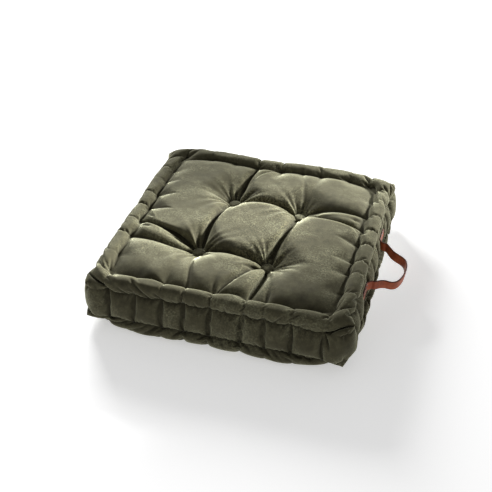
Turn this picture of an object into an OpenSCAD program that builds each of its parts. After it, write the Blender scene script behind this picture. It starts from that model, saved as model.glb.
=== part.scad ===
// Tufted box cushion for the floor: velvet cover with hand-stitched rolled edges, a fibre filling,
// covered buttons tied through it in pairs, and a leather strap handle on the right-hand side.
// The origin is the centre of the flat underside, +X points to the handle and -Y to the front.

/* [Cushion] */
// Side length over the rolled edges
cushion_w = 450; // [420:10:600]
// Height from the floor to the top of the rolls
cushion_h = 106; // [96:1:130]
// Diameter of the rolled edges
roll_d = 30; // [26:1:32]
// Radius of the roll's centreline at each corner
corner_r = 20; // [18:1:30]
// How far the top lies below the crest of the rolls
top_sink = 5; // [3:0.5:7]
// How far the side band lies inside the outermost line of the rolls
side_sink = 3.5; // [2.5:0.5:6]
// How much of the lower rolls is pressed flat by the floor
floor_press = 2; // [1:0.5:4]
// Thickness of the velvet with its backing
velvet_t = 1.5; // [1:0.1:2]

/* [Tufting] */
// Distance of the front left and back right buttons from the middle, along the width
tuft_x = 72; // [70:1:90]
// Distance of the front left and back right buttons from the middle, along the depth
tuft_y = 76; // [70:1:85]
// How much nearer the middle the other two buttons are drawn along the width
tuft_draw = 17; // [0:1:20]
// Depth of the well that a button sits in
well_depth = 24; // [16:1:28]
// Radius of the well at its rim
well_rim_r = 52; // [44:1:56]
// Diameter of a covered button
button_d = 24; // [20:1:28]
// Height of the button's crown
crown_h = 4.5; // [3.5:0.1:6]
// Radius of the tufting twine
twine_r = 1; // [0.7:0.1:1.1]

/* [Roll stitching] */
// Spacing of the stitches along a roll
stitch_pitch = 45; // [40:1:60]
// Length of a stitch where it lies on the velvet
stitch_len = 8; // [6:1:12]
// Radius of the waxed thread
thread_r = 0.7; // [0.5:0.1:0.9]

/* [Handle] */
// Width of the leather strap
strap_w = 18; // [14:1:20]
// Thickness of the leather
strap_t = 3; // [2:0.1:3.5]
// Distance between the strap's two legs
strap_span = 122; // [100:1:140]
// Where the middle of the strap lies along the side
strap_y = 11; // [0:1:30]
// How far the loop stands out from the outermost line of the rolls
strap_reach = 60; // [55:1:70]
// Length of each sewn end
tab_len = 36; // [30:1:45]

/* [Hidden] */
$fn = 64;
AIR = 0.3;
CLOTH_GAP = 0.25;
FOLD_GAP = 0.05;
PASS = 0.85;
FAR = 2 * cushion_w;

roll_r = roll_d / 2;
roll_at = cushion_w / 2 - roll_r;
top_z = cushion_h - top_sink;
top_roll_z = cushion_h - roll_r;
low_roll_z = roll_r - floor_press;
side_at = cushion_w / 2 - side_sink;
mid_z = cushion_h / 2;
field_at = roll_at - roll_r;

// A well is a shallow dish with a flat seat for the button, pulled a little deeper than the dish
dish_r = (pow(well_rim_r, 2) + pow(well_depth, 2)) / (2 * well_depth);
seat_drop = 0.8;
seat_r = button_d / 2 + 1;
seat_top = top_z - well_depth - seat_drop;
seat_low = well_depth + seat_drop;

// A button: a pressed metal shell, a velvet cover turned under it, and a back plate with a wire loop
button_r = button_d / 2;
cover_t = 0.9;
shell_t = 0.5;
shell_r = button_r - cover_t - FOLD_GAP;
shell_h = crown_h - cover_t - FOLD_GAP;
skirt_h = 1.6;
lip_w = 2.6;
lip_r = button_r - lip_w;
plate_r = lip_r - 2 * FOLD_GAP;
plate_t = 1.2;
loop_r = 3.2;
wire_r = 0.8;
shank_hole_r = loop_r + wire_r + 0.6;
twine_arc = 2.6;
twine_drop = 2 * loop_r - wire_r - twine_r - AIR + twine_arc;
channel_r = 6;

// Roll stitches run from the top, just inside the roll, to the side band, just below it
panel_margin = 4;
band_margin = 5;
stitch_in = roll_at - sqrt(pow(roll_r, 2) - pow(roll_r - top_sink, 2)) - panel_margin;
stitch_fall = sqrt(pow(roll_r, 2) - pow(roll_r - side_sink, 2)) + band_margin;
stitches = floor(2 * (roll_at - corner_r - stitch_len) / stitch_pitch) + 1;

// The strap's loop turns about a line beside the sewn ends; its round tongues clear them by AIR
tongue_r = strap_w / 2 + AIR;
bend_r = 4;
stub_len = 3;
tab_face = side_at + strap_t;
stub_end = side_at + strap_t / 2 + bend_r + stub_len;
hinge_x = stub_end + AIR + tongue_r;
leg_y = strap_span / 2;
turn_r = 30;
loop_x = cushion_w / 2 + strap_reach - turn_r - strap_t / 2;
patch_t = 1.5;
patch_margin = 4;
patch_x = side_at - velvet_t - CLOTH_GAP - patch_t;
tab_y = bend_r + tab_len / 2;
stitch_rows = [-0.34, 0.34];
stitch_cols = [-0.38, -0.13, 0.13, 0.38];
lock_stitch = 4.5;

VELVET = [0.33, 0.32, 0.25];
FIBRE = [0.93, 0.92, 0.88];
METAL = [0.72, 0.72, 0.70];
TWINE = [0.80, 0.76, 0.66];
LEATHER = [0.49, 0.22, 0.15];

// Tufts are numbered from the back left, across and then forward. The second and third stand at
// tuft_x and tuft_y; the first and fourth are drawn in along the width, and out half as far in depth
DRAWN = [tuft_draw, 0, 0, tuft_draw];
TUFTS = [for (i = [0:3]) [
    (i % 2 == 0 ? -1 : 1) * (tuft_x - DRAWN[i]),
    (i < 2 ? 1 : -1) * (tuft_y + DRAWN[i] / 2)]];
// Sides are turned about +Z from the front one
SIDES = [["front", 0], ["right", 90], ["back", 180], ["left", 270]];

// ---- Shapes shared by the cover and the filling ----

// A rounded square block, from height z0 to z1
module block(half, corner, z0, z1) {
    straight = half - corner;
    translate([-half, -straight, z0]) cube([2 * half, 2 * straight, z1 - z0]);
    translate([-straight, -half, z0]) cube([2 * straight, 2 * half, z1 - z0]);
    for (sx = [-1, 1], sy = [-1, 1])
        translate([sx * straight, sy * straight, z0]) cylinder(r = corner, h = z1 - z0);
}

// One rolled edge all the way round
module roll(r, z) {
    straight = roll_at - corner_r;
    for (side = SIDES) rotate([0, 0, side[1]]) {
        translate([-straight, -roll_at, z]) rotate([0, 90, 0]) cylinder(r = r, h = 2 * straight);
        translate([straight, -straight, z]) rotate([0, 0, -90])
            rotate_extrude(angle = 90) translate([corner_r, 0]) circle(r = r);
    }
}

// The well above one seat, opening upward
module well(inset) {
    translate([0, 0, seat_drop + dish_r]) sphere(r = dish_r + inset, $fn = 96);
    translate([0, 0, -inset]) cylinder(r = seat_r + inset, h = well_depth);
}

// The body between its rolls, drawn in by inset from the outside of the velvet
module stuffed(inset, roll_heights) {
    intersection() {
        union() {
            block(side_at - inset, corner_r + roll_r - side_sink - inset, -roll_r, top_z - inset);
            for (z = roll_heights) roll(roll_r - inset, z);
        }
        translate([-FAR / 2, -FAR / 2, inset]) cube([FAR, FAR, cushion_h]);
    }
}

module top_wells(inset) for (at = TUFTS) translate([at.x, at.y, seat_top]) well(inset);

module bottom_wells(inset)
    for (at = TUFTS) translate([at.x, at.y, seat_low]) mirror([0, 0, 1]) well(inset);

module shank_holes(r) for (at = TUFTS) translate([at.x, at.y, 0]) cylinder(r = r, h = cushion_h);

// Everything between two heights
module slab(z0, z1) translate([-FAR / 2, -FAR / 2, z0]) cube([FAR, FAR, z1 - z0]);

// The inner field that holds the wells, between two heights
module field(z0, z1) translate([-field_at, -field_at, z0]) cube([2 * field_at, 2 * field_at, z1 - z0]);

// The wedge that one side takes, from the middle out to its two corners
module wedge() linear_extrude(height = cushion_h) polygon([[0, 0], [-FAR, -FAR], [FAR, -FAR]]);

// ---- Cover ----

module top_panel() color(VELVET) difference() {
    intersection() {
        stuffed(0, [top_roll_z]);
        union() {
            slab(top_roll_z, cushion_h + 1);
            field(mid_z, top_roll_z + 1);
        }
    }
    top_wells(0);
    difference() {
        stuffed(velvet_t, [top_roll_z]);
        top_wells(velvet_t);
    }
    shank_holes(shank_hole_r);
}

module bottom_panel() color(VELVET) difference() {
    intersection() {
        stuffed(0, [low_roll_z]);
        union() {
            slab(-1, low_roll_z);
            field(low_roll_z - 1, mid_z);
        }
    }
    bottom_wells(0);
    difference() {
        stuffed(velvet_t, [low_roll_z]);
        bottom_wells(velvet_t);
    }
    shank_holes(shank_hole_r);
}

module boxing(turn) color(VELVET) intersection() {
    difference() {
        stuffed(0, [low_roll_z, top_roll_z]);
        stuffed(velvet_t, [low_roll_z, top_roll_z]);
    }
    slab(low_roll_z, top_roll_z);
    rotate([0, 0, turn]) wedge();
}

// ---- Filling ----

module filling() color(FIBRE) difference() {
    stuffed(velvet_t + CLOTH_GAP, [low_roll_z, top_roll_z]);
    top_wells(velvet_t + CLOTH_GAP);
    bottom_wells(velvet_t + CLOTH_GAP);
    shank_holes(channel_r);
    for (end = [-1, 1]) patch_block(end, CLOTH_GAP);
}

// ---- Stitching of the rolls ----

// A straight run of thread
module thread(from, to, r) {
    run = to - from;
    translate(from) rotate([0, acos(run.z / norm(run)), atan2(run.y, run.x)])
        cylinder(r = r, h = norm(run), $fn = 16);
}

// One stitch: along the panel, through the foot of the roll, and along the side band
module roll_stitch(x, panel_z, band_z) {
    in_at = [x, -stitch_in, panel_z];
    out_at = [x, -side_at, band_z];
    over = [thread_r, 0, 0];
    thread(in_at - [stitch_len, 0, 0], in_at + over, thread_r);
    thread(in_at, out_at, thread_r * PASS);
    thread(out_at - over, out_at + [stitch_len, 0, 0], thread_r);
}

module roll_stitching(turn, panel_z, band_z) color(TWINE) rotate([0, 0, turn])
    for (i = [0:stitches - 1])
        roll_stitch((i - (stitches - 1) / 2) * stitch_pitch, panel_z, band_z);

// ---- Buttons and twine ----

// A solid crown on a straight skirt
module crown(r, h, skirt) {
    ball = (r * r + h * h) / (2 * h);
    rotate_extrude() intersection() {
        translate([0, skirt + h - ball]) circle(r = ball, $fn = 96);
        square([r, skirt + h]);
    }
}

module button_cover() color(VELVET) difference() {
    crown(button_r, crown_h, skirt_h + cover_t);
    translate([0, 0, cover_t]) crown(button_r - cover_t, crown_h - cover_t, skirt_h);
    translate([0, 0, -1]) cylinder(r = lip_r, h = cover_t + 2);
}

module button_shell() color(METAL) translate([0, 0, cover_t]) difference() {
    crown(shell_r, shell_h, skirt_h);
    translate([0, 0, -1]) crown(shell_r - shell_t, shell_h - shell_t, skirt_h + 1);
}

module button_back() color(METAL) {
    cylinder(r = plate_r, h = plate_t);
    translate([0, 0, -loop_r]) rotate([90, 0, 0])
        rotate_extrude() translate([loop_r, 0]) circle(r = wire_r, $fn = 24);
}

module top_button(i) translate([TUFTS[i].x, TUFTS[i].y, seat_top]) children();

module bottom_button(i) translate([TUFTS[i].x, TUFTS[i].y, seat_low]) mirror([0, 0, 1]) children();

// Doubled twine, looped through the wire loops of both buttons
module tuft_twine(i) color(TWINE) translate([TUFTS[i].x, TUFTS[i].y, 0]) {
    high = seat_top - twine_drop;
    low = seat_low + twine_drop;
    for (sy = [-1, 1]) translate([0, sy * twine_arc, low]) cylinder(r = twine_r, h = high - low, $fn = 24);
    translate([0, 0, high]) rotate([90, 0, 90]) twine_turn();
    translate([0, 0, low]) rotate([-90, 0, 90]) twine_turn();
}

module twine_turn() rotate_extrude(angle = 180) translate([twine_arc, 0]) circle(r = twine_r, $fn = 24);

// ---- Handle ----

// The two ends of the strap are at -1, the front one, and +1, the rear one
module at_strap_end(end) translate([0, strap_y + end * leg_y, mid_z]) mirror([0, end > 0 ? 0 : 1, 0]) children();

module patch_block(end, grow) at_strap_end(end)
    translate([patch_x - grow, bend_r - patch_margin - grow, -strap_w / 2 - patch_margin - grow])
        cube([patch_t + 2 * grow, tab_len + 2 * (patch_margin + grow), strap_w + 2 * (patch_margin + grow)]);

module handle_patch(end) color(TWINE) patch_block(end, 0);

// A sewn end: flat on the side band, then bent out into a short stub
module handle_tab(end) color(LEATHER) at_strap_end(end) {
    translate([side_at, bend_r, -strap_w / 2]) cube([strap_t, tab_len, strap_w]);
    translate([side_at + strap_t / 2 + bend_r, bend_r, -strap_w / 2]) rotate([0, 0, 180])
        rotate_extrude(angle = 90) translate([bend_r - strap_t / 2, 0]) square([strap_t, strap_w]);
    translate([side_at + strap_t / 2 + bend_r, -strap_t / 2, -strap_w / 2])
        cube([stub_end - side_at - strap_t / 2 - bend_r, strap_t, strap_w]);
}

// Lock stitches in two rows through the sewn end, the side band and the patch behind it
module handle_stitching(end) color(TWINE) at_strap_end(end)
    for (row = stitch_rows, col = stitch_cols)
        translate([0, tab_y + col * tab_len, row * strap_w]) lock_stitch();

module lock_stitch() {
    half = lock_stitch / 2;
    for (x = [patch_x, tab_face])
        thread([x, -half - thread_r, 0], [x, half + thread_r, 0], thread_r);
    for (sy = [-1, 1]) thread([patch_x, sy * half, 0], [tab_face, sy * half, 0], thread_r * PASS);
}

// The free loop: two legs with round tongues, two bends and the grip between them
module handle_loop() color(LEATHER) {
    for (end = [-1, 1]) at_strap_end(end) {
        translate([hinge_x, -strap_t / 2, -strap_w / 2]) cube([loop_x - hinge_x, strap_t, strap_w]);
        intersection() {
            translate([hinge_x, strap_t / 2, 0]) rotate([90, 0, 0]) cylinder(r = tongue_r, h = strap_t);
            translate([hinge_x - strap_w, -strap_t, -strap_w / 2]) cube([strap_w, 2 * strap_t, strap_w]);
        }
        translate([loop_x, -turn_r, -strap_w / 2]) rotate_extrude(angle = 90)
            translate([turn_r - strap_t / 2, 0]) square([strap_t, strap_w]);
    }
    translate([loop_x + turn_r - strap_t / 2, strap_y - leg_y + turn_r, mid_z - strap_w / 2])
        cube([strap_t, strap_span - 2 * turn_r, strap_w]);
}

// ---- Assembly ----

top_panel();
bottom_panel();
for (side = SIDES) {
    boxing(side[1]);
    roll_stitching(side[1], top_z, top_roll_z - stitch_fall);
    roll_stitching(side[1], velvet_t / 2, low_roll_z + stitch_fall);
}
filling();
for (i = [0:3]) {
    tuft_twine(i);
    top_button(i) button_cover();
    top_button(i) button_shell();
    top_button(i) button_back();
    bottom_button(i) button_cover();
    bottom_button(i) button_shell();
    bottom_button(i) button_back();
}
handle_loop();
handle_tab(-1);  // handle_tab_front
handle_tab(1);  // handle_tab_rear
handle_stitching(-1);  // handle_stitching_front
handle_stitching(1);  // handle_stitching_rear
handle_patch(-1);  // handle_patch_front
handle_patch(1);  // handle_patch_rear
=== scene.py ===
import math
import bpy
import numpy as np
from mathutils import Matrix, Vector


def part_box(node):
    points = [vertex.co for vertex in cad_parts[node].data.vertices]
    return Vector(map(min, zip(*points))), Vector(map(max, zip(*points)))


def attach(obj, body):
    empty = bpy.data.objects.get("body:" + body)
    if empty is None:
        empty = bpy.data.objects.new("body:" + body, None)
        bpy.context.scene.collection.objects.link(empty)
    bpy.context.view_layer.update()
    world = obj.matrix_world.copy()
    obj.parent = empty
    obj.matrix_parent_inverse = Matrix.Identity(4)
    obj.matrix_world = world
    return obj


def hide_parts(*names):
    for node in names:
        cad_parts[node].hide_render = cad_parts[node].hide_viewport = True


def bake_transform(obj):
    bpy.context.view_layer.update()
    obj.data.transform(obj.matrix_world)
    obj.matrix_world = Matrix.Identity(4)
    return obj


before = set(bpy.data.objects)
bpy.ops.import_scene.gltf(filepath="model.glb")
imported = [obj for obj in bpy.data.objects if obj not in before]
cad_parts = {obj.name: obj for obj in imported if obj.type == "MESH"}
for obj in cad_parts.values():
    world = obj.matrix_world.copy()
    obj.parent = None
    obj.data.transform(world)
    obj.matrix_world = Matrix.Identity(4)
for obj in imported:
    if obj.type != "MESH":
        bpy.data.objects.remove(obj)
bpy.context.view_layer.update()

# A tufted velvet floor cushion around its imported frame. Lengths are metres, +X is the handle's side.

# ---- Sizes read from the frame ----
SIDE_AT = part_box("handle_tab_front")[0].x  # the flat of the side bands
HALF_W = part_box("top_panel")[1].y  # outermost line of the rolls
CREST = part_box("top_panel")[1].z  # top of the upper rolls
SEAT_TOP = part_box("top_button_1_cover")[0].z  # where the upper buttons sit
SEAT_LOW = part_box("bottom_button_1_cover")[1].z
CROWN_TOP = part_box("top_button_1_cover")[1].z
BUTTONS = [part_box(f"top_button_{number}_cover") for number in (1, 2, 3, 4)]
BUTTON_R = (BUTTONS[0][1].x - BUTTONS[0][0].x) / 2
TUFTS = [((low.x + high.x) / 2, (low.y + high.y) / 2) for low, high in BUTTONS]
TABS = (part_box("handle_tab_front"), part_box("handle_tab_rear"))
PATCHES = (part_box("handle_patch_front"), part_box("handle_patch_rear"))
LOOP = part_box("handle_loop")

# ---- The rolled edges and their stitches ----
ROLL_R = 0.015
ROLL_AT = HALF_W - ROLL_R
SEAM_TOP = CREST - ROLL_R
SEAM_LOW = 0.013
STITCHES = 9
PITCH = 0.045
STITCH_SHIFT = 0.007  # how far stitches sit off their even places
CREASE_SLANT = 0.007  # and the lower ones off the upper ones
INNER_AT = 0.196  # stitched groove on the top, from the middle
INNER_Z = 0.095
OUTER_AT = SIDE_AT - 0.0035  # stitched groove on the side bands
OUTER_Z = 0.082
LOW_INNER_AT = 0.2035  # the same two below, where the weight spreads the rolls
LOW_INNER_Z = 0.003
LOW_OUTER_AT = SIDE_AT + 0.005
LOW_OUTER_Z = 0.027
INNER_CORNER = 0.192  # corners of the two upper grooves and of the seam
OUTER_CORNER = 0.2160
SEAM_CORNER = 0.2205
LOW_CORNER = 0.2175  # corners of the lower outer groove
LOW_INNER_CORNER = 0.200  # and of the lower inner one
SEAM_DROP = 0.001  # how much lower the upper seam is at its corners
CORNER_REACH = (0.0015, -0.001, 0.002, 0.0)  # further out, from the front left round
SCALLOP = 0.0026  # how far a groove strays between two stitches
PINCH_DEPTH = 0.0055  # how far the hardest stitch draws its groove in
# How hard each stitch pinches its roll, from 0 to 1, along each side seen from outside
PINCH = ((0.9, 0.4, 0.6, 0.8, 1.0, 0.9, 0.6, 0.8, 0.7), (0.9, 0.7, 0.6, 0.8, 0.9, 1.0, 0.8, 0.7, 1.0),
         (1.0, 0.2, 0.3, 0.2, 0.9, 1.0, 0.3, 0.2, 0.4), (0.3, 0.5, 0.2, 0.6, 0.9, 0.4, 0.7, 0.3, 0.6))
SIDES = ("front", "right", "back", "left")

# ---- The cloth, cut flat ----
COARSE = 72  # cells across the top panel in the first stage
BAND_CELLS = 14  # rows of cells up the band in the first stage
PANEL_HALF = 0.2405  # from the middle of the top panel to its seam
BAND_H = 0.0785
ROLL_CELLS = 7  # coarse cells from the seam to the inner stitches
BAND_ROLL_CELLS = 2  # coarse rows from the seam to the outer stitches
ROLL_CLOTH = ROLL_CELLS * 2 * PANEL_HALF / COARSE
GROOVE_CLOTH = PANEL_HALF - ROLL_CLOTH
TUFT_EASE = 1.036  # a button's place on the flat panel, over the frame's
GATHER_IN = 1.03  # cloth between two inner stitches, over their distance
GATHER_OUT = 1.075
PILLOW_EASE = 0.014  # extra cloth that lets the pillows swell
ZONE_FADE = 0.015  # distance over which extra cloth fades in
ZONE_EDGE = 1.4  # how far from a fold's line it reaches, over the fold's half width
FOLD_HALF = 0.012  # half the width of the cloth that a fold takes in
LOOSE_CLOTH = 0.05  # extra cloth where no fold runs out from a button
LOOSE_HALF = 0.040
CREASE_CLOTH = (0.15, 0.30)  # extra cloth across a crease, and more for a full pinch
CREASE_HALF = 0.0026
PANEL_TURN = math.radians(150)  # how far the first shape's rolls go round on the panels
BAND_TURN = math.radians(50)  # and on the band
FIRST_DOME = 0.006  # how far its panels rise inside the grooves

# ---- How the cloth behaves ----
STRETCH, SHORTEN = 1.0, 0.6  # how strongly threads resist each
SHEAR = 0.22
BEND = 0.04
GROOVE_TAUT = 0.97  # length of a stitched line, over its flat length
PINCH_TAUT = 0.40  # how much a full pinch shortens the way over a roll
CREASE_TAUT = 0.04  # and the crease below it
CORNER_GATHER = 0.76  # length of a gathered groove near a corner, over its flat length
BUTTON_GRIP = 0.85  # part of a button's radius that holds the cloth
BUTTON_DRAW = 0.95  # how far that cloth is drawn together
CLEARANCE = 0.0003  # from the cloth to the buttons and the handle's ends
PATCH_MARGIN = 0.0015  # flat cloth round each patch
CEILING_PULL = 14.0  # above the crest the filling presses less and less
CORNER_START = np.float32(0.195)  # where the rounding of a corner starts
CORNER_ROUND = np.float32(0.0425)  # and how far the cloth may reach beyond that
FLOOR_GRIP = 0.7  # how much of its last place cloth on the floor keeps
TINY = np.float32(1e-9)
STITCH_SEED, PLEAT_SEED, BUTTON_SEED = 11, 5, 20
# Stages of settling: lattice, jitter, steps, passes over the links, push, damping, steps of easing in
STAGES = ((1, 0.0004, 180, 4, 0.00008, 0.95, 60), (2, 0.0002, 90, 4, 0.00002, 0.9, 1),
          (4, 0, 24, 3, 0.000005, 0.85, 1))


class Lattice:
    """The casing's cloth as grids of points: a top, a bottom and a band from seam to seam."""

    def __init__(self, level):
        self.level = level
        self.cells, self.rows = COARSE * level, BAND_CELLS * level
        self.roll_cells, self.band_roll = ROLL_CELLS * level, BAND_ROLL_CELLS * level
        n, side = self.cells, self.cells + 1
        self.top = np.arange(side * side).reshape(side, side)
        self.bottom = self.top + side * side
        walk = [(i, 0) for i in range(n)] + [(n, j) for j in range(n)]
        walk += [(n - i, n) for i in range(n)] + [(0, n - j) for j in range(n)]
        self.walk = np.array(walk)
        between = np.arange((self.rows - 1) * 4 * n).reshape(self.rows - 1, 4 * n) + 2 * side * side
        top_seam = self.top[self.walk[:, 0], self.walk[:, 1]]
        low_seam = self.bottom[self.walk[:, 0], self.walk[:, 1]]
        self.ring = np.vstack([low_seam, between, top_seam])
        self.band = np.hstack([self.ring, self.ring[:, :1]]).T
        self.count = 2 * side * side + (self.rows - 1) * 4 * n
        self.half = n / 2
        self.cell = 2 * PANEL_HALF / n
        self.row = BAND_H / self.rows
        self.steps = (np.arange(side) - self.half) * self.cell

    def flat_place(self, grid, up):
        """Where each point of a grid lies on the flat cloth, indexed by point."""
        across = (np.arange(len(grid)) - self.half) * self.cell
        place = np.zeros((self.count, 2), np.float32)
        place[grid] = np.stack(np.meshgrid(across, up, indexing="ij"), -1)
        return place

    def step_at(self, flat):
        """The cells from a side's start to a place on the flat cloth."""
        return self.half + flat / self.cell


def smooth(t):
    """Eases from 0 to 1."""
    t = np.clip(t, 0, 1)
    return t * t * (3 - 2 * t)


def link(a, b, rest, pull, push):
    """Links from points a to points b, that resist stretching by pull and shortening by push."""
    full = np.full(a.size, rest, np.float32)
    return (a.ravel(), b.ravel(), full, np.float32(pull), np.float32(push))


def straight_links(grid, span, rest, pull, push):
    """Links along the first direction of a grid, in batches that share no point."""
    out = []
    for start in range(2 * span):
        a = grid[start:len(grid) - span:2 * span]
        b = grid[start + span::2 * span][:len(a)]
        if len(a):
            out.append(link(a, b, rest, pull, push))
    return out


def weave(grid, cell, row, loop=False):
    """All the links of one grid. The band leaves those along its two seams to the panels."""
    inner = grid[:, 1:-1] if loop else grid
    columns = grid[:-1] if loop else grid
    out = straight_links(inner, 1, cell, STRETCH, SHORTEN)
    out += straight_links(columns.T, 1, row, STRETCH, SHORTEN)
    across = math.hypot(cell, row)
    for start in (0, 1):
        out.append(link(grid[start:-1:2, :-1], grid[start + 1::2, 1:], across, SHEAR, SHEAR / 3))
        out.append(link(grid[start:-1:2, 1:], grid[start + 1::2, :-1], across, SHEAR, SHEAR / 3))
    out += straight_links(inner, 2, 2 * cell, 0.0, BEND)
    return out + straight_links(columns.T, 2, 2 * row, 0.0, BEND)


def fitted(batches, place, zones, ease=None):
    """The same links with more cloth in the zones of the folds and swellings."""
    out = []
    for a, b, rest, pull, push in batches:
        middle, run = (place[a] + place[b]) / 2, place[b] - place[a]
        run = run / np.linalg.norm(run, axis=1)[:, None]
        more = ease(middle) if ease else np.zeros(len(a))
        for start, end, along, across, half in zones:
            axis = np.subtract(end, start)
            length = np.linalg.norm(axis)
            axis = axis / length
            far = (middle - start) @ axis
            off = np.abs((middle - start) @ np.array([-axis[1], axis[0]]))
            inside = smooth(ZONE_EDGE - off / half) * smooth(far / ZONE_FADE)
            inside = inside * smooth((length - far) / ZONE_FADE)
            lengthwise = (run @ axis) ** 2
            more = more + inside * (along * lengthwise + across * (1 - lengthwise))
        out.append((a, b, (rest * (1 + more)).astype(np.float32), pull, push))
    return out


def pillow_ease(middle):
    """More cloth inside the inner stitches, so that the pillows crown."""
    far = np.abs(middle).max(1)
    return PILLOW_EASE * smooth((GROOVE_CLOTH - far) / ZONE_FADE)


def tufts_on_cloth():
    """The buttons on the flat panel: back left, back right, front left, front right."""
    return [(x * TUFT_EASE, y * TUFT_EASE) for x, y in TUFTS]


def creases():
    """Folds of the top panel: from, to, how taut it is along the fold, extra cloth across it."""
    e = GROOVE_CLOTH
    back_left, back_right, front_left, front_right = tufts_on_cloth()
    return [(back_left, back_right, 0.95, 0.60), (front_left, front_right, 0.95, 0.60),
            (front_left, back_left, 0.95, 0.60), (front_right, back_right, 0.95, 0.70),
            (back_left, (-0.038, e), 0.95, 0.70), (back_left, (-0.010, e), 0.98, 0.30),
            (back_right, (e, 0.070), 0.95, 0.60), (back_right, (e, 0.030), 0.97, 0.35),
            (front_left, (-e, -0.060), 0.95, 0.70), (front_left, (-e, -0.015), 0.98, 0.30),
            (front_right, (0.045, -e), 0.95, 0.60), (front_right, (-0.005, -e), 0.96, 0.50),
            (front_right, (0.095, -e), 0.98, 0.25)]


def top_zones():
    """The folds' extra cloth, and looser stretches where no fold leaves a button."""
    e = GROOVE_CLOTH
    out = [(start, end, 0.0, across, FOLD_HALF) for start, end, _, across in creases()]
    back_left, back_right, front_left, front_right = tufts_on_cloth()
    for start, end in ((back_left, (-e, back_left[1])), (back_right, (back_right[0], e)),
                       (front_left, (front_left[0], -e)), (front_right, (e, front_right[1]))):
        out.append((start, end, LOOSE_CLOTH, 0.0, LOOSE_HALF))
    return out


def band_zones(plan):
    """Extra cloth across the upright crease at each stitch of the side bands."""
    out = []
    for side in range(4):
        for upper, lower, pinch in plan[side]:
            below = side * 2 * PANEL_HALF + GATHER_OUT * lower
            above = side * 2 * PANEL_HALF + GATHER_OUT * upper
            across = CREASE_CLOTH[0] + CREASE_CLOTH[1] * pinch
            out.append(((below, 0.0), (above, BAND_H), 0.0, across, CREASE_HALF))
    return out


def stitch_plan(rng):
    """Each stitch's place along its side, above and below, and how strongly it pinches."""
    plan = []
    for row in PINCH:
        even = (np.arange(STITCHES) - (STITCHES - 1) / 2) * PITCH
        upper = even + rng.uniform(-STITCH_SHIFT, STITCH_SHIFT, STITCHES)
        lower = upper + rng.uniform(-CREASE_SLANT, CREASE_SLANT, STITCHES)
        plan.append(list(zip(upper, lower, row)))
    return plan


def turned(side, along, out):
    """A point given along one side, seen from outside, and out from the middle."""
    return ((along, -out), (out, along), (-along, out), (-out, -along))[side]


def on_panel(lat, side, step, inward):
    """A panel's grid place, given along one side and in from its seam."""
    n = lat.cells
    return ((step, inward), (n - inward, step), (n - step, n - inward), (inward, n - step))[side]


def stitch_ends(side, place, pinch, low):
    """Where a stitch goes into the panel and where it comes out on the side band."""
    deep = PINCH_DEPTH * pinch
    if low:
        inner, outer = (LOW_INNER_AT, LOW_INNER_Z), (LOW_OUTER_AT - deep, LOW_OUTER_Z)
    else:
        inner, outer = (INNER_AT, INNER_Z - deep), (OUTER_AT - deep, OUTER_Z)
    return (*turned(side, place, inner[0]), inner[1]), (*turned(side, place, outer[0]), outer[1])


def outer_groove(side, places, pinches, low, flat_place):
    """The point of a side band's stitched groove at a place on the flat cloth."""
    flat = [GATHER_OUT * p for p in places]
    ends = [stitch_ends(0, p, pinch, low)[1] for p, pinch in zip(places, pinches)]
    share = np.interp(flat_place, flat, np.arange(len(flat))) % 1
    stray = SCALLOP * 4 * share * (1 - share)
    out = np.interp(flat_place, flat, [-point[1] for point in ends]) + stray
    height = np.interp(flat_place, flat, [point[2] for point in ends]) + (stray if low else -stray)
    return (*turned(side, np.interp(flat_place, flat, places), out), height)


def hold_stitches(lat, plan, held):
    """The stitches hold points of the panels, and the whole length of the bands' grooves."""
    for side in range(4):
        uppers, lowers, pinches = zip(*plan[side])
        for grid, row, places, low in ((lat.top, lat.rows - lat.band_roll, uppers, False),
                                       (lat.bottom, lat.band_roll, lowers, True)):
            for place, pinch in zip(places, pinches):
                step = int(round(lat.step_at(GATHER_IN * place)))
                point = grid[on_panel(lat, side, step, lat.roll_cells)]
                held[point] = stitch_ends(side, place, pinch, low)[0]
            for step, flat in enumerate(lat.steps[:-1], side * lat.cells):
                if GATHER_OUT * places[0] <= flat <= GATHER_OUT * places[-1]:
                    held[lat.ring[row, step]] = outer_groove(side, places, pinches, low, flat)


def hold_corners(lat, held):
    """The corners of the upper seam and of all four stitched grooves."""
    corners = ((lat.rows, SEAM_CORNER, SEAM_TOP - SEAM_DROP),
               (lat.rows - lat.band_roll, OUTER_CORNER, OUTER_Z), (lat.band_roll, LOW_CORNER, LOW_OUTER_Z))
    for side, (sx, sy) in enumerate(((-1, -1), (1, -1), (1, 1), (-1, 1))):
        for row, at, z in corners:
            reach = at + CORNER_REACH[side]
            held[lat.ring[row, side * lat.cells]] = (sx * reach, sy * reach, z)
        i, j = (lat.roll_cells if sign < 0 else lat.cells - lat.roll_cells for sign in (sx, sy))
        held[lat.top[i, j]] = (sx * INNER_CORNER, sy * INNER_CORNER, INNER_Z)
        held[lat.bottom[i, j]] = (sx * LOW_INNER_CORNER, sy * LOW_INNER_CORNER, LOW_INNER_Z)


def held_points(lat, plan):
    """Point -> where it is held: by the buttons, the stitches, the corners and the handle's ends."""
    held = {}
    for grid, seat in ((lat.top, SEAT_TOP - CLEARANCE), (lat.bottom, SEAT_LOW + CLEARANCE)):
        for (x, y), (u, v) in zip(TUFTS, tufts_on_cloth()):
            du, dv = np.meshgrid(lat.steps - u, lat.steps - v, indexing="ij")
            for i, j in np.argwhere(np.hypot(du, dv) <= BUTTON_R * BUTTON_GRIP):
                held[grid[i, j]] = (x + du[i, j] * BUTTON_DRAW, y + dv[i, j] * BUTTON_DRAW, seat)
    hold_stitches(lat, plan, held)
    hold_corners(lat, held)
    hold_behind_tabs(lat, held)
    return held


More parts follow.
